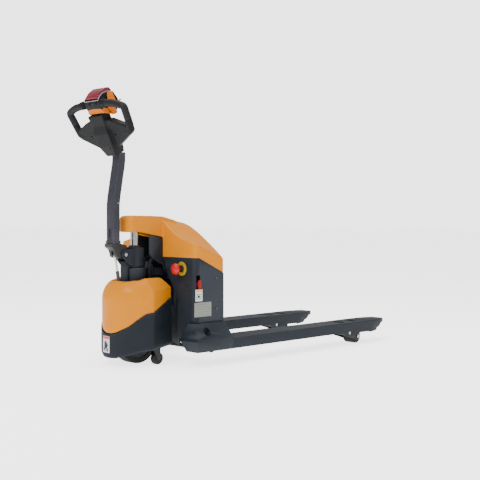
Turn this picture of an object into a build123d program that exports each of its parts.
from build123d import *
import os
from math import sin, cos, radians

os.makedirs("parts", exist_ok=True)

# ---------------------------------------------------------------------------
# Electric pallet truck.  Millimetres, +X towards the fork tips, +Z up.
# Origin: middle of the footprint, on the floor.  Shown raised 35 mm above
# its lowest fork height.
# ---------------------------------------------------------------------------
overall_length = 1780.0
overall_width = 685.0
overall_height = 1275.0
fork_length = 1220.0
fork_width = 150.0
fork_depth = 50.0
fork_top = 120.0            # height of the fork's top face at rest
sheet = 5.0                 # pressed steel thickness of the forks
x_tip = overall_length / 2
x_back = x_tip - fork_length        # -330, back of the body, heel of the forks
y_out = overall_width / 2
y_fork = y_out - fork_width / 2     # centre line of a fork
z_low = fork_top - fork_depth

# steering axis and drive unit
x_steer = -642.0
skirt_r = 157.0
cover_r = 153.0
wheel_r = 105.0
wheel_w = 70.0
collar_r = 48.5
barrel_r = 30.0
rod_r = 20.0
sweep_r = 206.0             # clearance recess in the body around the drive unit

# load wheel linkage
x_pivot, z_pivot = 539.0, 66.0
x_load, z_load = 645.5, 37.0
load_r = 37.0
load_w = 66.0
lever = 34.0
lever_lean = 8.7            # degrees behind vertical at rest
x_rocker = -400.0
pin_dx = -lever * sin(radians(lever_lean))
pin_dz = lever * cos(radians(lever_lean))

# body
x_front = -508.0
y_body = 280.0
z_floor = 117.0
y_stop = -184.0             # centre of the emergency stop

# tiller
x_hinge, z_hinge = -722.0, 512.0
head_lean = 28.4            # degrees forward from vertical

RIGHT = -1                  # the right side is -Y


def write(piece, label):
    piece.part.label = label
    export_step(piece.part, "parts/" + label + ".step")


# ---------------------------------------------------------------------------
# Forks: pressed channels, open underneath, with a closed tapered tip
# ---------------------------------------------------------------------------
fork_side = [(x_back, z_low), (478, z_low), (512, 50), (585, 50), (600, 62), (700, 62), (715, 58),
             (775, 62), (792, 76), (812, 80), (838, 98), (884, 100), (x_tip, 104),
             (x_tip, 113), (878, fork_top), (x_back, fork_top)]
fork_inside = [(x_back - 1, z_low - 30), (760, z_low - 30), (760, 100), (735, fork_top - sheet),
               (x_back - 1, fork_top - sheet)]
with BuildPart() as fork_right:
    with BuildSketch(Plane.XZ.offset(-y_fork * RIGHT)):
        with BuildLine():
            Polyline(*fork_side, close=True)
        make_face()
    extrude(amount=fork_width / 2, both=True)
    with BuildSketch(Plane.XY.offset(0)):
        with BuildLine():
            Polyline((x_back, -y_out), (740, -y_out), (830, -y_out + 17), (872, -y_out + 34),
                     (x_tip, -y_out + 50), (x_tip, -y_out + 100), (872, -y_out + 116),
                     (830, -y_out + 133), (740, -y_out + fork_width), (x_back, -y_out + fork_width),
                     close=True)
        make_face()
    extrude(amount=200, mode=Mode.INTERSECT)
    long_top = fork_right.edges().filter_by(Axis.X).group_by(Axis.Z)[-1]
    fillet(long_top, 4.5)
    with BuildSketch(Plane.XZ.offset(-y_fork * RIGHT)):
        with BuildLine():
            Polyline(*fork_inside, close=True)
        make_face()
    extrude(amount=fork_width / 2 - sheet, both=True, mode=Mode.SUBTRACT)
    # two oblique inspection slots over the load wheel arm
    with BuildSketch(Plane.XY.offset(fork_top - 12)):
        with Locations((528, y_fork * RIGHT), (632, y_fork * RIGHT)):
            SlotOverall(92, 26, rotation=78)
    extrude(amount=20, mode=Mode.SUBTRACT)
    # pivot pin holes through both side plates
    with Locations(Plane.XZ.offset(-y_fork * RIGHT)):
        with Locations((x_pivot, z_pivot)):
            Cylinder(8.0, fork_width + 10, mode=Mode.SUBTRACT)
write(fork_right, "fork_right")
with BuildPart() as fork_left:
    mirror(fork_right.part, about=Plane.XZ)
write(fork_left, "fork_left")

# pivot pins with a flat head outside each fork's outer plate
with BuildPart() as arm_pins:
    for side in (-1, 1):
        with Locations(Plane.XZ.offset(-y_fork * side)):
            with Locations((x_pivot, z_pivot)):
                Cylinder(7.95, fork_width - 1)
write(arm_pins, "arm_pins")

# ---------------------------------------------------------------------------
# Heels: the front of each fork under the body, with the sloped gusset on top
# ---------------------------------------------------------------------------
x_heel = -550.0
with BuildPart() as heel_right:
    with BuildSketch(Plane.YZ.offset(x_heel)):
        with BuildLine():
            Polyline((-y_out, z_low), (-264, z_low), (-216, z_floor), (-y_out, z_floor), close=True)
        make_face()
    extrude(amount=60)
    with BuildSketch(Plane.YZ.offset(-491)):
        with Locations((-y_fork, (z_low + z_floor) / 2)):
            Rectangle(fork_width, z_floor - z_low)
    extrude(amount=x_back + 491)
    # gusset that rises from the heel to the side of the body
    with BuildSketch(Plane.YZ.offset(-549.9)):
        with BuildLine():
            Polyline((-y_body, 112), (-y_out, 112), (-y_out, 126), (-292, 194), (-y_body, 194), close=True)
        make_face()
    extrude(amount=x_back + 549.9)
    # it wraps round the front corner of the body
    with BuildSketch(Plane.YZ.offset(-549.9)):
        with BuildLine():
            Polyline((-216, 113), (-244, 194), (-284, 194), (-284, 113), close=True)
        make_face()
    extrude(amount=549.9 - 508.4)
    # rounded, swept-back front edge of the gusset
    with BuildSketch(Plane.XZ.offset(200)):
        with BuildLine():
            l1 = Line((-549, z_floor + 0.01), (-552, z_floor + 0.01))
            l2 = Line(l1 @ 1, (-552, 200))
            l3 = Line(l2 @ 1, (-521, 200))
            l4 = Spline(l3 @ 1, (-527, 184), (-538, 155), l1 @ 0)
        make_face()
    extrude(amount=160, mode=Mode.SUBTRACT)
    # hollow underneath
    with BuildSketch(Plane.YZ.offset(x_heel + sheet)):
        with BuildLine():
            Polyline((-y_out + sheet, z_low - 20), (-262, z_low - 20), (-262, z_low + 10),
                     (-230, z_floor - sheet), (-y_out + sheet, z_floor - sheet), close=True)
        make_face()
    extrude(amount=60, mode=Mode.SUBTRACT)
    with BuildSketch(Plane.YZ.offset(-491 + sheet)):
        with Locations((-y_fork, z_floor - sheet - 40)):
            Rectangle(fork_width - 2 * sheet, 80)
    extrude(amount=x_back + 491, mode=Mode.SUBTRACT)
    # round access hole in the slope, with its axis square to the body's side
    with Locations(Plane.XZ.offset(y_out)):
        with Locations((-472, 158)):
            Cylinder(20, 90, mode=Mode.SUBTRACT)
    # lug that carries the rocker shaft
    with Locations((x_rocker, -y_out + fork_width - 6, 65)):
        Box(44, 12, 34)
    with Locations(Plane.XZ.offset(y_fork - 60)):
        with Locations((x_rocker, z_pivot)):
            Cylinder(10.06, 60, mode=Mode.SUBTRACT)
write(heel_right, "heel_right")
with BuildPart() as heel_left:
    mirror(heel_right.part, about=Plane.XZ)
write(heel_left, "heel_left")

# ---------------------------------------------------------------------------
# Base frame, column and gooseneck: welded steel inside the body
# ---------------------------------------------------------------------------
with BuildPart() as base_frame:
    with BuildSketch(Plane.XY.offset(z_floor)):
        with BuildLine():
            Polyline((x_front + 4.5, -254), (x_front + 12, -268), (x_front + 26, -275.5), (x_back - 4, -275.5), (x_back - 4, 275.5),
                     (x_front + 26, 275.5), (x_front + 12, 268), (x_front + 4.5, 254), close=True)
        make_face()
        with Locations((x_steer, 0)):
            Circle(sweep_r + 3.5, mode=Mode.SUBTRACT)
    extrude(amount=8)
    # flange that stiffens the curved front edge
    with BuildSketch(Plane.XY.offset(z_floor - 29)):
        with Locations((x_steer, 0)):
            Circle(sweep_r + 8.5)
            Circle(sweep_r + 3.5, mode=Mode.SUBTRACT)
        with BuildLine():
            Polyline((x_front + 5, -156), (x_front + 5, 156), (-420, 156), (-420, -156), close=True)
        make_face(mode=Mode.INTERSECT)
    extrude(amount=29)
    # cross member between the heels
    with Locations(((x_back - 4 - 30), 0, z_floor - 14)):
        Box(60, 2 * (y_out - fork_width), 28)
write(base_frame, "base_frame")

with BuildPart() as column:
    # two cheeks, joined by a back plate
    with BuildSketch(Plane.XZ.offset(-46)):
        with BuildLine():
            Polyline((-424, z_floor + 8), (-392, z_floor + 8), (-392, 628), (-430, 640), (-503, 656),
                     (-503, 587), (-588, 602), (-588, 512), (-560, 484), (-503, 456),
                     (-503, 446), (-470, 400), (-431, 352), (-431, 150), close=True)
        make_face()
    extrude(amount=7)
    with BuildSketch(Plane.XZ.offset(39)):
        with BuildLine():
            Polyline((-424, z_floor + 8), (-392, z_floor + 8), (-392, 628), (-430, 640), (-503, 656),
                     (-503, 587), (-588, 602), (-588, 512), (-560, 484), (-503, 456),
                     (-503, 446), (-470, 400), (-431, 352), (-431, 150), close=True)
        make_face()
    extrude(amount=7)
    with Locations((-395, 0, (z_floor + 8 + 626) / 2)):
        Box(6, 80, 626 - z_floor - 8)
    # gooseneck reaching over the steering axis
    with BuildSketch(Plane.XZ):
        with BuildLine():
            Polyline((-398, 592), (-500, 606), (-560, 622), (-680, 622), (-686, 632), (-686, 660),
                     (-676, 672), (-560, 678), (-490, 668), (-480, 654), (-430, 640), (-398, 630), close=True)
        make_face()
    extrude(amount=39.2, both=True)
    # bolt holes in the cheeks
    with Locations(Plane.XZ):
        with Locations((-468, 530), (-468, 458)):
            Cylinder(5, 120, mode=Mode.SUBTRACT)
write(column, "column")

with BuildPart() as lift_rod:
    with Locations((x_steer, 0, (415 + 622) / 2)):
        Cylinder(rod_r, 622 - 415)
    chamfer(lift_rod.edges().group_by(Axis.Z)[0], 2)
write(lift_rod, "lift_rod")

# ---------------------------------------------------------------------------
# Lower body panels, left and right: front face, rounded corner and side
# ---------------------------------------------------------------------------
with BuildPart() as body_panel_right:
    with BuildSketch(Plane.XY.offset(z_floor)):
        with BuildLine():
            l1 = Line((x_front, -44), (x_front, -y_body + 25))
            a1 = CenterArc((x_front + 25, -y_body + 25), 25, 180, 90)
            l2 = Line((x_front + 25, -y_body), (x_back - 3, -y_body))
            l3 = Line(l2 @ 1, (x_back - 3, -y_body + 4))
            l4 = Line(l3 @ 1, (x_front + 25, -y_body + 4))
            a2 = CenterArc((x_front + 25, -y_body + 25), 21, 270, -90)
            l5 = Line((x_front + 4, -y_body + 25), (x_front + 4, -44))
            l6 = Line(l5 @ 1, l1 @ 0)
        make_face()
    extrude(amount=497 - z_floor)
    # inner edge of the front face, cut back around the drive unit
    with BuildSketch(Plane.YZ.offset(x_front - 5)):
        with BuildLine():
            Polyline((-46.3, 500), (-46.3, 492), (-113, 364), (-160, 296), (-160, 100), (0, 100), (0, 500), close=True)
        make_face()
    extrude(amount=20, mode=Mode.SUBTRACT)
    # upper edge of the side falls towards the back
    with BuildSketch(Plane.XZ.offset(200)):
        with BuildLine():
            Polyline((-486, 498), (-486, 497), (x_back, 421.5), (x_back, 498), close=True)
        make_face()
    extrude(amount=100, mode=Mode.SUBTRACT)
    # key slot in the side, emergency stop hole in the front
    with Locations((-492 + 3, -y_body, 386)):
        Box(19, 20, 62, mode=Mode.SUBTRACT)
    with Locations(Plane.YZ.offset(x_front)):
        with Locations((y_stop, 445)):
            Cylinder(11, 30, mode=Mode.SUBTRACT)
        with Locations((-202, 371), (-222, 371)):
            Cylinder(3, 30, mode=Mode.SUBTRACT)
write(body_panel_right, "body_panel_right")

with BuildPart() as body_panel_left:
    with BuildSketch(Plane.XY.offset(z_floor)):
        with BuildLine():
            l1 = Line((x_front, 44), (x_front, y_body - 25))
            a1 = CenterArc((x_front + 25, y_body - 25), 25, 180, -90)
            l2 = Line((x_front + 25, y_body), (x_back - 3, y_body))
            l3 = Line(l2 @ 1, (x_back - 3, y_body - 4))
            l4 = Line(l3 @ 1, (x_front + 25, y_body - 4))
            a2 = CenterArc((x_front + 25, y_body - 25), 21, 90, 90)
            l5 = Line((x_front + 4, y_body - 25), (x_front + 4, 44))
            l6 = Line(l5 @ 1, l1 @ 0)
        make_face()
    extrude(amount=497 - z_floor)
    with BuildSketch(Plane.YZ.offset(x_front - 5)):
        with BuildLine():
            Polyline((46.3, 500), (46.3, 492), (113, 364), (160, 296), (160, 100), (0, 100), (0, 500), close=True)
        make_face()
    extrude(amount=20, mode=Mode.SUBTRACT)
    with BuildSketch(Plane.XZ.offset(-300)):
        with BuildLine():
            Polyline((-486, 498), (-486, 497), (x_back, 421.5), (x_back, 498), close=True)
        make_face()
    extrude(amount=100, mode=Mode.SUBTRACT)
write(body_panel_left, "body_panel_left")

with BuildPart() as back_panel:
    with Locations((x_back - 1.5, 0, (z_floor + 421) / 2)):
        Box(3, 2 * y_body, 421 - z_floor)
write(back_panel, "back_panel")

# curved wall of the recess in which the drive unit turns
with BuildPart() as recess_wall:
    with BuildSketch(Plane.XY.offset(z_floor + 8)):
        with Locations((x_steer, 0)):
            Circle(sweep_r + 3)
            Circle(sweep_r, mode=Mode.SUBTRACT)
        with BuildLine():
            Polyline((x_front + 4.2, -158), (x_front + 4.2, 158), (-400, 158), (-400, -158), close=True)
        make_face(mode=Mode.INTERSECT)
    extrude(amount=280)
    with Locations((-430, 0, 380)):
        Box(60, 92.4, 240, mode=Mode.SUBTRACT)
write(recess_wall, "recess_wall")

# ---------------------------------------------------------------------------
# Upper cover with its nose over the steering axis
# ---------------------------------------------------------------------------
front_section = [(0, 690), (50, 668), (88, 637), (132, 609), (177, 591), (225, 577), (y_body, 564)]
back_section = [(0, 657), (44, 642), (102, 613), (160, 577), (216, 539), (265, 503), (y_body, 489)]


def section_points(pts, d):
    right = [(-(y - d) if y else 0.0, z - d) for y, z in reversed(pts)]
    left = [(y - d, z - d) for y, z in pts[1:]]
    return right + left


with BuildPart() as cover_hollow:
    for x, pts in ((x_front + 4, front_section), (x_back - 4, back_section)):
        with BuildSketch(Plane.YZ.offset(x)):
            with BuildLine():
                sp = section_points(pts, 4)
                Polyline((-y_body + 4, 300), *sp, (y_body - 4, 300), close=True)
            make_face()
    loft(ruled=True)
    with BuildSketch(Plane.XZ):
        with BuildLine():
            Polyline((-480, 300), (-480, 679), (-505, 685), (-664, 690), (-690, 684), (-706, 660), (-706, 612),
                     (-690, 606), (-505, 580), (-505, 300), close=True)
        make_face()
    nose_hollow = extrude(amount=41, both=True, mode=Mode.PRIVATE)
    # its front corners follow the rounding of the nose
    with BuildSketch(Plane.XY.offset(290)):
        with BuildLine():
            Polyline((-706, -24), (-689, -41), (-470, -41), (-470, 41), (-689, 41), (-706, 24), close=True)
        make_face()
    nose_plan = extrude(amount=410, mode=Mode.PRIVATE)
    add(nose_hollow & nose_plan)

with BuildPart() as top_cover:
    for x, pts in ((x_front, front_section), (x_back, back_section)):
        with BuildSketch(Plane.YZ.offset(x)):
            with BuildLine():
                sp = section_points(pts, 0)
                Polyline((-y_body, 400), *sp, (y_body, 400), close=True)
            make_face()
    loft(ruled=True)
    # nose
    with BuildSketch(Plane.XZ):
        with BuildLine():
            Polyline((-420, 560), (-420, 671), (-465, 682.4), (-505, 690), (-664, 694), (-694, 688), (-711, 664),
                     (-711, 616), (-642, 616), (-505, 590), (-505, 560), close=True)
        make_face()
    extrude(amount=45, both=True)
    fillet(top_cover.edges().filter_by(Axis.Z).sort_by(Axis.X)[0:2], 30)
    # lower boundary: level across the front, falling along the sides
    with BuildSketch(Plane.XZ):
        with BuildLine():
            Polyline((x_front - 2, 380), (x_front - 2, 497.3), (-486, 497.3), (x_back + 1, 421.8),
                     (x_back + 1, 380), close=True)
        make_face()
    extrude(amount=400, both=True, mode=Mode.SUBTRACT)
    add(cover_hollow.part, mode=Mode.SUBTRACT)
    # slot for the gooseneck under the nose, open to the column
    with Locations((x_front, 0, 520)):
        Box(20, 92.4, 140, mode=Mode.SUBTRACT)
write(top_cover, "top_cover")

# ---------------------------------------------------------------------------
# Inside the body
# ---------------------------------------------------------------------------
with BuildPart() as battery:
    with Locations((-418, 220, 295)):
        Box(150, 104, 340)
    fillet(battery.edges().filter_by(Axis.Z), 8)
    with Locations((-418, 220, 473)):
        Box(60, 20, 16)
write(battery, "battery")

with BuildPart() as controller:
    with Locations((-410, -222, 200)):
        Box(130, 92, 150)
    with Locations(*[(-410, -222 + k * 14, 285) for k in (-3, -2, -1, 0, 1, 2, 3)]):
        Box(120, 4, 22)
write(controller, "controller")

with BuildPart() as estop_base:
    with BuildSketch(Plane.YZ.offset(x_front)):
        with Locations((y_stop, 445)):
            Circle(33)
    extrude(amount=-2.5)
    with BuildSketch(Plane.YZ.offset(x_front - 2.5)):
        with Locations((y_stop, 445)):
            Circle(17)
    extrude(amount=-13)
    with BuildSketch(Plane.YZ.offset(x_front - 15.5)):
        with Locations((y_stop, 445)):
            Circle(8.1)
    extrude(amount=60, mode=Mode.SUBTRACT)
write(estop_base, "estop_base")

with BuildPart() as estop_button:
    with BuildSketch(Plane.XZ):
        with BuildLine():
            Polyline((0, 0), (8.0, 0), (8.0, 42), (10, 44), (22, 47), (26, 51), (27, 56), (26, 62),
                     (22, 67), (14, 70), (0, 71), close=True)
        make_face()
    revolve(axis=Axis.Z)
estop_placed = Plane(origin=(x_front + 15, y_stop, 445), x_dir=(0, 1, 0), z_dir=(-1, 0, 0)) * estop_button.part
with BuildPart() as estop_button:
    add(estop_placed)
write(estop_button, "estop_button")

with BuildPart() as power_key:
    with Locations((-489, -286, 376)):
        Box(13, 10, 38)
    fillet(power_key.edges().filter_by(Axis.Y), 2)
    with Locations((-489, -273, 376)):
        Box(9, 20, 20)
write(power_key, "power_key")

with BuildPart() as nameplate:
    with Locations((-463.5, -y_body - 0.6, 258.5)):
        Box(105, 1.2, 67)
write(nameplate, "nameplate")

with BuildPart() as body_screws:
    # pan heads on the sides and the bolts in the column's cheeks
    for side in (-1, 1):
        with Locations(Plane.XZ.offset(-side * (y_body + 1.5))):
            with Locations((-379, 400), (-378, 258)):
                Cylinder(6, 3)
        with Locations(Plane.XZ.offset(-side * 42.5)):
            with Locations((-468, 530), (-468, 458)):
                Cylinder(4.9, 7)
write(body_screws, "body_screws")

# ---------------------------------------------------------------------------
# Load wheels: rocker shaft, push rods, arms, axles and wheels
# ---------------------------------------------------------------------------
with BuildPart() as rocker_shaft:
    with Locations(Plane.XZ):
        with Locations((x_rocker, z_pivot)):
            Cylinder(10, 2 * (y_fork + 14))
    for side in (-1, 1):
        with BuildSketch(Plane.XZ.offset(-side * y_fork)):
            with BuildLine():
                l1 = Line((x_rocker - 15, z_pivot), (x_rocker + pin_dx - 9, z_pivot + pin_dz))
                l2 = ThreePointArc(l1 @ 1, (x_rocker + pin_dx, z_pivot + pin_dz + 9), (x_rocker + pin_dx + 9, z_pivot + pin_dz))
                l3 = Line(l2 @ 1, (x_rocker + 15, z_pivot))
                l4 = ThreePointArc(l3 @ 1, (x_rocker, z_pivot - 15), l1 @ 0)
            make_face()
        extrude(amount=5, both=True)
        with Locations(Plane.XZ.offset(-side * y_fork - 11.5)):
            with Locations((x_rocker + pin_dx, z_pivot + pin_dz)):
                Cylinder(5, 13)
write(rocker_shaft, "rocker_shaft")

x_eye_f, x_eye_r, z_eye = x_pivot + pin_dx, x_rocker + pin_dx, z_pivot + pin_dz
with BuildPart() as push_rod_right:
    with BuildSketch(Plane.XZ.offset(y_fork - 12)):
        with BuildLine():
            Polyline((x_eye_r - 13, z_eye - 13), (x_eye_r + 14, z_eye - 13), (x_eye_r + 26, z_eye - 8),
                     (x_eye_f - 26, z_eye - 8), (x_eye_f - 14, z_eye - 13), (x_eye_f + 13, z_eye - 13),
                     (x_eye_f + 13, z_eye + 11), (x_eye_f - 14, z_eye + 11), (x_eye_f - 26, z_eye + 8),
                     (x_eye_r + 26, z_eye + 8), (x_eye_r + 14, z_eye + 11), (x_eye_r - 13, z_eye + 11), close=True)
        make_face()
        with Locations((x_eye_r, z_eye - 2.2), (x_eye_f, z_eye - 2.2)):
            RectangleRounded(13, 17, 6, mode=Mode.SUBTRACT)
    extrude(amount=4, both=True)
write(push_rod_right, "push_rod_right")
with BuildPart() as push_rod_left:
    with BuildSketch(Plane.XZ.offset(-y_fork - 12)):
        with BuildLine():
            Polyline((x_eye_r - 13, z_eye - 13), (x_eye_r + 14, z_eye - 13), (x_eye_r + 26, z_eye - 8),
                     (x_eye_f - 26, z_eye - 8), (x_eye_f - 14, z_eye - 13), (x_eye_f + 13, z_eye - 13),
                     (x_eye_f + 13, z_eye + 11), (x_eye_f - 14, z_eye + 11), (x_eye_f - 26, z_eye + 8),
                     (x_eye_r + 26, z_eye + 8), (x_eye_r + 14, z_eye + 11), (x_eye_r - 13, z_eye + 11), close=True)
        make_face()
        with Locations((x_eye_r, z_eye - 2.2), (x_eye_f, z_eye - 2.2)):
            RectangleRounded(13, 17, 6, mode=Mode.SUBTRACT)
    extrude(amount=4, both=True)
write(push_rod_left, "push_rod_left")

for side, word in ((-1, "right"), (1, "left")):
    yc = side * y_fork
    with BuildPart() as load_arm:
        for dy in (-42, 42):
            with BuildSketch(Plane.XZ.offset(-yc + dy)):
                with BuildLine():
                    Polyline((x_pivot - 16, z_pivot + 4), (x_pivot - 12, z_pivot + 15), (x_pivot + 10, z_pivot + 17),
                             (x_load + 4, z_load + 19), (x_load + 17, z_load + 10), (x_load + 19, z_load - 6),
                             (x_load + 8, z_load - 18), (x_load - 8, z_load - 19), (x_pivot + 20, z_pivot - 24),
                             (x_pivot - 4, z_pivot - 17), (x_pivot - 14, z_pivot - 9), close=True)
                make_face()
                with Locations((x_load, z_load)):
                    Circle(10, mode=Mode.SUBTRACT)
            extrude(amount=3, both=True)
        with Locations(Plane.XZ.offset(-yc)):
            with Locations((x_pivot, z_pivot)):
                Cylinder(14, 88)
        with BuildSketch(Plane.XZ.offset(-yc)):
            with BuildLine():
                l1 = Line((x_pivot - 13, z_pivot), (x_pivot + pin_dx - 9, z_pivot + pin_dz))
                l2 = ThreePointArc(l1 @ 1, (x_pivot + pin_dx, z_pivot + pin_dz + 9), (x_pivot + pin_dx + 9, z_pivot + pin_dz))
                l3 = Line(l2 @ 1, (x_pivot + 13, z_pivot))
                l4 = Line(l3 @ 1, l1 @ 0)
            make_face()
        extrude(amount=5, both=True)
        with Locations(Plane.XZ.offset(-yc - 11.5)):
            with Locations((x_pivot + pin_dx, z_pivot + pin_dz)):
                Cylinder(5, 13)
        with Locations(Plane.XZ.offset(-yc)):
            with Locations((x_pivot, z_pivot)):
                Cylinder(8.05, 120, mode=Mode.SUBTRACT)
    write(load_arm, "load_arm_" + word)
    with BuildPart() as load_axle:
        with Locations(Plane.XZ.offset(-yc)):
            with Locations((x_load, z_load)):
                Cylinder(9.95, 98)
    write(load_axle, "load_axle_" + word)
    with BuildPart() as load_wheel:
        with Locations(Plane.XZ.offset(-yc)):
            with Locations((x_load, z_load)):
                Cylinder(load_r, load_w)
        chamfer(load_wheel.edges().filter_by(GeomType.CIRCLE).sort_by(SortBy.RADIUS)[-2:], 3)
        with Locations(Plane.XZ.offset(-yc)):
            with Locations((x_load, z_load)):
                Cylinder(10.02, load_w + 10, mode=Mode.SUBTRACT)
    write(load_wheel, "load_wheel_" + word)

# ---------------------------------------------------------------------------
# Lift cylinder and its swivel base: neither lifts nor steers
# ---------------------------------------------------------------------------
with BuildPart() as lift_collar:
    with Locations((x_steer, 0, (376 + 449) / 2)):
        Cylinder(collar_r, 449 - 376)
    chamfer(lift_collar.edges().group_by(Axis.Z)[-1], 2)
    with Locations((x_steer, 0, (318 + 376) / 2)):
        Cylinder(38, 376 - 318)
    with Locations((x_steer, 0, 380)):
        Cylinder(barrel_r + 0.05, 200, mode=Mode.SUBTRACT)
write(lift_collar, "lift_collar")

with BuildPart() as lift_barrel:
    with Locations((x_steer, 0, (318 + 550) / 2)):
        Cylinder(barrel_r, 550 - 318)
    with Locations((x_steer, 0, 552)):
        Cylinder(26, 4)
    with Locations((x_steer, 0, (330 + 560) / 2)):
        Cylinder(rod_r + 0.05, 560 - 330, mode=Mode.SUBTRACT)
write(lift_barrel, "lift_barrel")

with BuildPart() as torque_arm:
    # arm from the collar to the guide shoe between the column's cheeks
    with BuildSketch(Plane.XZ):
        with BuildLine():
            Polyline((x_steer + 20, 408), (-432, 408), (-432, 444), (x_steer + 20, 444), close=True)
        make_face()
    extrude(amount=12, both=True)
    with Locations((x_steer, 0, 426)):
        Cylinder(collar_r + 0.05, 60, mode=Mode.SUBTRACT)
    with Locations((-416.5, 0, 426)):
        Box(33, 77, 80)
write(torque_arm, "torque_arm")

with BuildPart() as conduits:
    for y in (-24.0, 24.0):
        with BuildLine() as route:
            FilletPolyline((-574, y, 330), (-574, y, 455), (-548, y, 500), (-470, y, 512), radius=24)
        with BuildSketch(Plane(origin=(-574, y, 330), z_dir=(0, 0, 1))):
            Circle(8.5)
        sweep(path=route.line)
write(conduits, "conduits")

# ---------------------------------------------------------------------------
# Drive unit: turns about the steering axis
# ---------------------------------------------------------------------------
def drive_outline(r):
    k = r / skirt_r
    pts = [(-46 * k, -150 * k), (-12 * k, -160 * k), (126 * k, -123 * k), (126 * k, 123 * k), (-12 * k, 160 * k),
           (-46 * k, 150 * k)]
    return [(x_steer + a, b) for a, b in pts]


def draw_outline(r):
    p = drive_outline(r)
    Polyline(*p)
    ThreePointArc(p[-1], (x_steer - r, 0), p[0])


top_levels = [(300, 0), (335, 4), (362, 20), (382, 40), (394, 56), (401, 70)]
with BuildPart() as cover_core:
    for z, d in [(60, 0)] + top_levels:
        with BuildSketch(Plane.XY.offset(z - 4 if z > 60 else z)):
            with BuildLine():
                draw_outline(cover_r - 4 - d)
            make_face()
    loft(ruled=True)

with BuildPart() as drive_cover:
    for z, d in [(60, 0)] + top_levels:
        with BuildSketch(Plane.XY.offset(z)):
            with BuildLine():
                draw_outline(cover_r - d)
            make_face()
    loft(ruled=True)
    add(cover_core.part, mode=Mode.SUBTRACT)
    # horseshoe opening in the top
    with BuildSketch(Plane.XY.offset(340)):
        with Locations((x_steer, 0)):
            Circle(84)
        with Locations((x_steer - 55, 0)):
            Rectangle(110, 100)
        with Locations((x_steer + 50, 0)):
            Rectangle(90, 120)
    extrude(amount=100, mode=Mode.SUBTRACT)
    # boundary with the skirt: low in front, rising to the rear corners
    with BuildSketch(Plane.XZ):
        with BuildLine():
            s1 = Spline((-805, 146), (-789.5, 155), (-775, 171), (-753, 190), (-725, 218), (-690, 244))
            Polyline(s1 @ 1, (-654, 247), (-510, 314), (-500, 314), (-500, 0), (-805, 0), s1 @ 0)
        make_face()
    extrude(amount=200, both=True, mode=Mode.SUBTRACT)
    # open at the rear, towards the body
    with Locations((x_steer + 125, 0, 200)):
        Box(30, 180, 330, mode=Mode.SUBTRACT)
write(drive_cover, "drive_cover")

with BuildPart() as drive_skirt:
    with BuildSketch(Plane.XY.offset(30)):
        with BuildLine():
            draw_outline(skirt_r)
        make_face()
        with BuildLine():
            draw_outline(skirt_r - 4)
        make_face(mode=Mode.SUBTRACT)
    extrude(amount=300)
    with BuildSketch(Plane.XZ):
        with BuildLine():
            s1 = Spline((-805, 145.6), (-789.5, 154.6), (-775, 170.6), (-753, 189.6), (-725, 217.6), (-690, 243.6))
            Polyline(s1 @ 1, (-654, 246.6), (-510, 313.6), (-500, 313.6), (-500, 400), (-805, 400), s1 @ 0)
        make_face()
    extrude(amount=200, both=True, mode=Mode.SUBTRACT)
    with BuildSketch(Plane.XZ):
        with BuildLine():
            Polyline((-805, 20), (-805, 36), (-792, 42), (-770, 52), (-718, 70), (-654, 75), (-500, 88), (-500, 20), close=True)
        make_face()
    extrude(amount=200, both=True, mode=Mode.SUBTRACT)
    with Locations((x_steer + 125, 0, 200)):
        Box(30, 180, 330, mode=Mode.SUBTRACT)
write(drive_skirt, "drive_skirt")

# plate that carries the skirt and the two stabilising casters
with BuildPart() as base_plate:
    with BuildSketch(Plane.XY.offset(128)):
        with BuildLine():
            draw_outline(skirt_r - 6)
        make_face()
        with Locations((x_steer, 0)):
            Rectangle(222, 166, mode=Mode.SUBTRACT)
        with Locations((-618, -112), (-618, 112)):
            Circle(9.06, mode=Mode.SUBTRACT)
    extrude(amount=8)
write(base_plate, "base_plate")

# head casting: bearing round the collar's neck, with a cheek down each side of the wheel
with BuildPart() as drive_head:
    with Locations((x_steer, 0, 345)):
        Cylinder(62, 60)
    with BuildSketch(Plane.XY.offset(298)):
        with Locations((x_steer, 0)):
            RectangleRounded(190, 180, 20)
    extrude(amount=17)
    with Locations((x_steer, 0, 347)):
        Cylinder(38.08, 70, mode=Mode.SUBTRACT)
    # seat for the tiller bracket's strut
    with Locations((-703, 0, 397)):
        Box(14, 40, 162, mode=Mode.SUBTRACT)
    with Locations((x_steer, 46 + 5, 190)):
        Box(60, 10, 216)
    # feet that hold the base plate
    for dx in (-70, 70):
        for dy in (-84, 84):
            with Locations((x_steer + dx, dy, 217)):
                Box(14, 10, 162)
    with Locations(Plane.XZ.offset(-51)):
        with Locations((x_steer, wheel_r)):
            Cylinder(12, 30, mode=Mode.SUBTRACT)
write(drive_head, "drive_head")

with BuildPart() as gearbox:
    with BuildSketch(Plane.XZ.offset(39)):
        with BuildLine():
            Polyline((x_steer - 38, 62), (x_steer + 38, 62), (x_steer + 52, 90), (x_steer + 52, 200),
                     (x_steer + 40, 228), (x_steer - 40, 228), (x_steer - 52, 200), (x_steer - 52, 90), close=True)
        make_face()
    extrude(amount=38)
    fillet(gearbox.edges().filter_by(Axis.Y), 12)
    with Locations(Plane.XZ.offset(58)):
        with Locations((x_steer, wheel_r)):
            Cylinder(12, 60, mode=Mode.SUBTRACT)
write(gearbox, "gearbox")

with BuildPart() as drive_motor:
    with Locations((x_steer, -34, 263)):
        Cylinder(48, 70)
    chamfer(drive_motor.edges().filter_by(GeomType.CIRCLE), 3)
write(drive_motor, "drive_motor")

with BuildPart() as drive_axle:
    with Locations(Plane.XZ.offset(10.5)):
        with Locations((x_steer, wheel_r)):
            Cylinder(11.95, 133)
write(drive_axle, "drive_axle")

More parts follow.
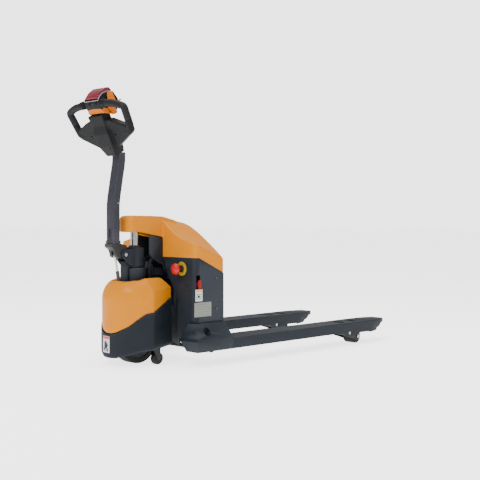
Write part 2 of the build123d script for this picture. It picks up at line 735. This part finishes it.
with BuildPart() as drive_hub:
    with Locations(Plane.XZ):
        with Locations((x_steer, wheel_r)):
            Cylinder(78, wheel_w - 8)
    with Locations(Plane.XZ):
        with Locations((x_steer, wheel_r)):
            Cylinder(12.02, wheel_w, mode=Mode.SUBTRACT)
    with Locations(Plane.XZ.offset(0)):
        with Locations((x_steer, wheel_r)):
            with PolarLocations(48, 6):
                Cylinder(11, wheel_w, mode=Mode.SUBTRACT)
write(drive_hub, "drive_hub")

with BuildPart() as drive_tyre:
    with Locations(Plane.XZ):
        with Locations((x_steer, wheel_r)):
            Cylinder(wheel_r, wheel_w)
            Cylinder(78.02, wheel_w + 2, mode=Mode.SUBTRACT)
    chamfer(drive_tyre.edges().filter_by(GeomType.CIRCLE).sort_by(SortBy.RADIUS)[-2:], 4)
write(drive_tyre, "drive_tyre")

x_caster, y_caster, caster_r = -618.0, 112.0, 29.0
for side, word in ((-1, "right"), (1, "left")):
    yc = side * y_caster
    with BuildPart() as caster_fork:
        with Locations((x_caster, yc, (74 + 138) / 2)):
            Cylinder(9, 138 - 74)
        with Locations((x_caster + 4, yc, 74)):
            Box(44, 36, 5)
        for dy in (-16, 16):
            with BuildSketch(Plane.XZ.offset(-yc + dy)):
                with BuildLine():
                    Polyline((x_caster - 16, 76), (x_caster + 24, 76), (x_caster + 27, caster_r),
                             (x_caster + 20, caster_r - 9), (x_caster + 8, caster_r - 6), close=True)
                make_face()
            extrude(amount=2, both=True)
        with Locations(Plane.XZ.offset(-yc)):
            with Locations((x_caster + 17, caster_r)):
                Cylinder(5, 36)
    write(caster_fork, "caster_fork_" + word)
    with BuildPart() as caster_wheel:
        with Locations(Plane.XZ.offset(-yc)):
            with Locations((x_caster + 17, caster_r)):
                Cylinder(caster_r, 26)
        fillet(caster_wheel.edges().filter_by(GeomType.CIRCLE), 4)
        with Locations(Plane.XZ.offset(-yc)):
            with Locations((x_caster + 17, caster_r)):
                Cylinder(5.05, 40, mode=Mode.SUBTRACT)
    write(caster_wheel, "caster_wheel_" + word)

# bracket round the barrel that carries the tiller's hinge
with BuildPart() as tiller_bracket:
    with Locations((x_steer, 0, 500)):
        Cylinder(44, 88)
    with BuildSketch(Plane.XZ):
        with BuildLine():
            Polyline((-668, 462), (-700, 462), (-726, 494), (-741, 506), (-741, 520), (-730, 532), (-668, 540), close=True)
        make_face()
    extrude(amount=36, both=True)
    with Locations((-722, 0, 500)):
        Box(64, 56, 100, mode=Mode.SUBTRACT)
    # strut down to the head casting, in front of the collar
    with Locations((-703, 0, 397)):
        Box(14, 40, 162)
    with Locations((-695, 0, 470)):
        Box(30, 40, 16)
    with Locations((x_steer, 0, 460)):
        Cylinder(barrel_r + 0.3, 200, mode=Mode.SUBTRACT)
    # lugs and pin for the gas spring's lower eye
    with Locations((-722, -9.6, 345), (-722, 9.6, 345)):
        Box(26, 5, 22)
    with Locations(Plane.XZ):
        with Locations((-728, 345)):
            Cylinder(3.95, 24)
    with Locations(Plane.XZ):
        with Locations((x_hinge, z_hinge)):
            Cylinder(8.0, 90, mode=Mode.SUBTRACT)
write(tiller_bracket, "tiller_bracket")

with BuildPart() as tiller_pin:
    with Locations(Plane.XZ):
        with Locations((x_hinge, z_hinge)):
            Cylinder(7.95, 80)
write(tiller_pin, "tiller_pin")

# ---------------------------------------------------------------------------
# Tiller: tilts about the pin
# ---------------------------------------------------------------------------
with BuildPart() as tiller_casting:
    with BuildSketch(Plane.XZ):
        with BuildLine():
            Polyline((-796, 565), (-796, 549), (-776, 535), (-769, 518), (-766, 503), (-752, 497), (-722, 494), (-708, 500),
                     (-703, 516), (-705, 540), (-709, 556), (-746, 565), close=True)
        make_face()
    extrude(amount=27, both=True)
    with Locations((-766, 0, 580)):
        Box(34, 48, 32)
    # slot for the gas spring's eye
    with Locations((-758, 0, 508)):
        Box(50, 12, 40, mode=Mode.SUBTRACT)
    with Locations(Plane.XZ):
        with Locations((x_hinge, z_hinge)):
            Cylinder(8.03, 90, mode=Mode.SUBTRACT)
write(tiller_casting, "tiller_casting")

arm_profile = [(-785.5, 565), (-746.5, 565), (-746.5, 750), (-715, 930), (-713, 985), (-751, 985), (-754, 930), (-785.5, 750)]
with BuildPart() as tiller_arm:
    with BuildSketch(Plane.XZ):
        with BuildLine():
            Polyline(*arm_profile, close=True)
        make_face()
    extrude(amount=28.5, both=True)
    fillet(tiller_arm.edges().filter_by(Axis.Z), 4)
    with Locations((-766, 0, 580)):
        Box(34.2, 48.2, 32.2, mode=Mode.SUBTRACT)
    with Locations((-785, 0, 612)):
        Box(8, 8, 40, mode=Mode.SUBTRACT)
write(tiller_arm, "tiller_arm")

lean = radians(head_lean)
head_plane = Plane(origin=(-740, 0, 965), x_dir=(0, 1, 0), z_dir=(cos(lean), 0, sin(lean)))


def head_offset(d):
    return head_plane.offset(d)


with BuildPart() as head_base:
    # flat shield-shaped body that spreads from the arm to the two loops
    with BuildSketch(head_offset(-8)):
        with BuildLine():
            Polyline((-36, 22), (36, 22), (44, 52), (120, 84), (196, 112), (212, 122), (214, 138), (176, 150), (150, 160),
                     (82, 192), (56, 196), (56, 222), (-56, 222), (-56, 196), (-82, 192), (-150, 160), (-176, 150),
                     (-214, 138), (-212, 122), (-196, 112), (-120, 84), (-44, 52), close=True)
        make_face()
    extrude(amount=18, both=True)
    # thicker middle
    with BuildSketch(head_offset(-6)):
        with BuildLine():
            Polyline((-36, 14), (36, 14), (62, 60), (72, 130), (56, 214), (-56, 214), (-72, 130), (-62, 60), close=True)
        make_face()
    extrude(amount=34, both=True)
    add(tiller_arm.part, mode=Mode.SUBTRACT)
write(head_base, "head_base")

with BuildPart() as head_top:
    with BuildSketch(Plane.XZ):
        with BuildLine():
            Polyline((-832, 1146), (-868, 1166), (-884, 1190), (-887, 1214), (-868, 1240), (-828, 1256), (-800, 1252), (-774, 1226),
                     (-770, 1196), (-786, 1164), close=True)
        make_face()
    extrude(amount=58, both=True)
    fillet(head_top.faces().filter_by(Axis.Y).edges(), 9)
    with Locations(Plane.XZ):
        with Locations((-828, 1196)):
            Cylinder(6.1, 140, mode=Mode.SUBTRACT)
    add(head_base.part, mode=Mode.SUBTRACT)
    # seat for the red safety button
    with BuildSketch(Plane.XZ):
        with BuildLine():
            Polyline((-898, 1206.5), (-857, 1208.5), (-838, 1232.5), (-800, 1241), (-796, 1280), (-898, 1280), close=True)
        make_face()
    extrude(amount=50.5, both=True, mode=Mode.SUBTRACT)
    for y in (-24, 24):
        with Locations((-884, y, 1196)):
            Box(30, 20.6, 12.6, mode=Mode.SUBTRACT)
write(head_top, "head_top")

with BuildPart() as belly_button:
    with BuildSketch(Plane.XZ):
        with BuildLine():
            l1 = Line((-882, 1212.5), (-861, 1214.5))
            l2 = Line(l1 @ 1, (-843, 1238.6))
            l3 = Line(l2 @ 1, (-809, 1246.6))
            l4 = Spline(l3 @ 1, (-806, 1264), (-822, 1274.4), (-846, 1270), (-872, 1251), (-887.5, 1226), l1 @ 0)
        make_face()
    extrude(amount=48, both=True)
    fillet(belly_button.faces().filter_by(Axis.Y).edges().group_by(Axis.Z)[-1], 6)
write(belly_button, "belly_button")

with BuildPart() as throttle:
    with Locations(Plane.XZ):
        with Locations((-828, 1196)):
            Cylinder(6.0, 2 * 62)
    for side in (-1, 1):
        with BuildSketch(Plane.XZ.offset(-side * 66.2)):
            with BuildLine():
                Polyline((-806, 1150), (-792, 1160), (-808, 1182), (-800, 1210), (-820, 1246), (-836, 1252), (-846, 1244),
                         (-846, 1214), (-848, 1196), (-836, 1172), (-822, 1150), close=True)
            make_face()
        extrude(amount=5, both=True)
write(throttle, "throttle")

with BuildPart() as head_trim:
    # band round the front of the head
    with BuildSketch(Plane.XY.offset(1150)):
        with Locations((-846, 0)):
            Rectangle(60, 118.6)
        with Locations((-840, 0)):
            Rectangle(54, 116, mode=Mode.SUBTRACT)
    extrude(amount=20)
    add(head_top.part, mode=Mode.SUBTRACT)
    add(head_base.part, mode=Mode.SUBTRACT)
write(head_trim, "head_trim")

for y, word in ((-24, "lift_button"), (24, "lower_button")):
    with BuildPart() as thumb_button:
        with Locations((-881, y, 1196)):
            Box(14, 20, 12)
        fillet(thumb_button.edges().group_by(Axis.X)[0], 1.5)
    write(thumb_button, word)

with BuildPart() as handle_grips:
    for side in (-1, 1):
        with BuildLine() as grip_path:
            p = [head_plane.from_local_coords(Vector(side * a, b, -8)) for a, b in
                 ((192, 132), (206, 236), (150, 258), (74, 266))]
            FilletPolyline(*p, radius=26)
        with BuildSketch(Plane(origin=grip_path.line @ 0, z_dir=grip_path.line % 0)):
            Circle(17)
        sweep(path=grip_path.line)
    add(head_base.part, mode=Mode.SUBTRACT)
write(handle_grips, "handle_grips")

# gas spring that stands the tiller up again
x_gs, z_gs = -728.0, 345.0
with BuildPart() as gas_spring_body:
    with Locations(Plane.XZ):
        with Locations((x_gs, z_gs)):
            Cylinder(9, 12)
    with BuildSketch(Plane(origin=(x_gs, 0, z_gs), z_dir=(-28, 0, 163))):
        Circle(8.5)
    extrude(amount=92)
    with BuildSketch(Plane(origin=(x_gs, 0, z_gs), z_dir=(-28, 0, 163)).offset(44)):
        Circle(5.05)
    extrude(amount=76, mode=Mode.SUBTRACT)
    with Locations((x_gs, -12, z_gs), (x_gs, 12, z_gs)):
        Box(40, 11.6, 28, mode=Mode.SUBTRACT)
    with Locations(Plane.XZ):
        with Locations((x_gs, z_gs)):
            Cylinder(4.03, 40, mode=Mode.SUBTRACT)
write(gas_spring_body, "gas_spring_body")

with BuildPart() as gas_spring_rod:
    with BuildSketch(Plane(origin=(x_gs, 0, z_gs), z_dir=(-28, 0, 163)).offset(84)):
        Circle(5)
    extrude(amount=78)
    with Locations(Plane.XZ):
        with Locations((x_gs - 28, z_gs + 163)):
            Cylinder(8, 9)
write(gas_spring_rod, "gas_spring_rod")
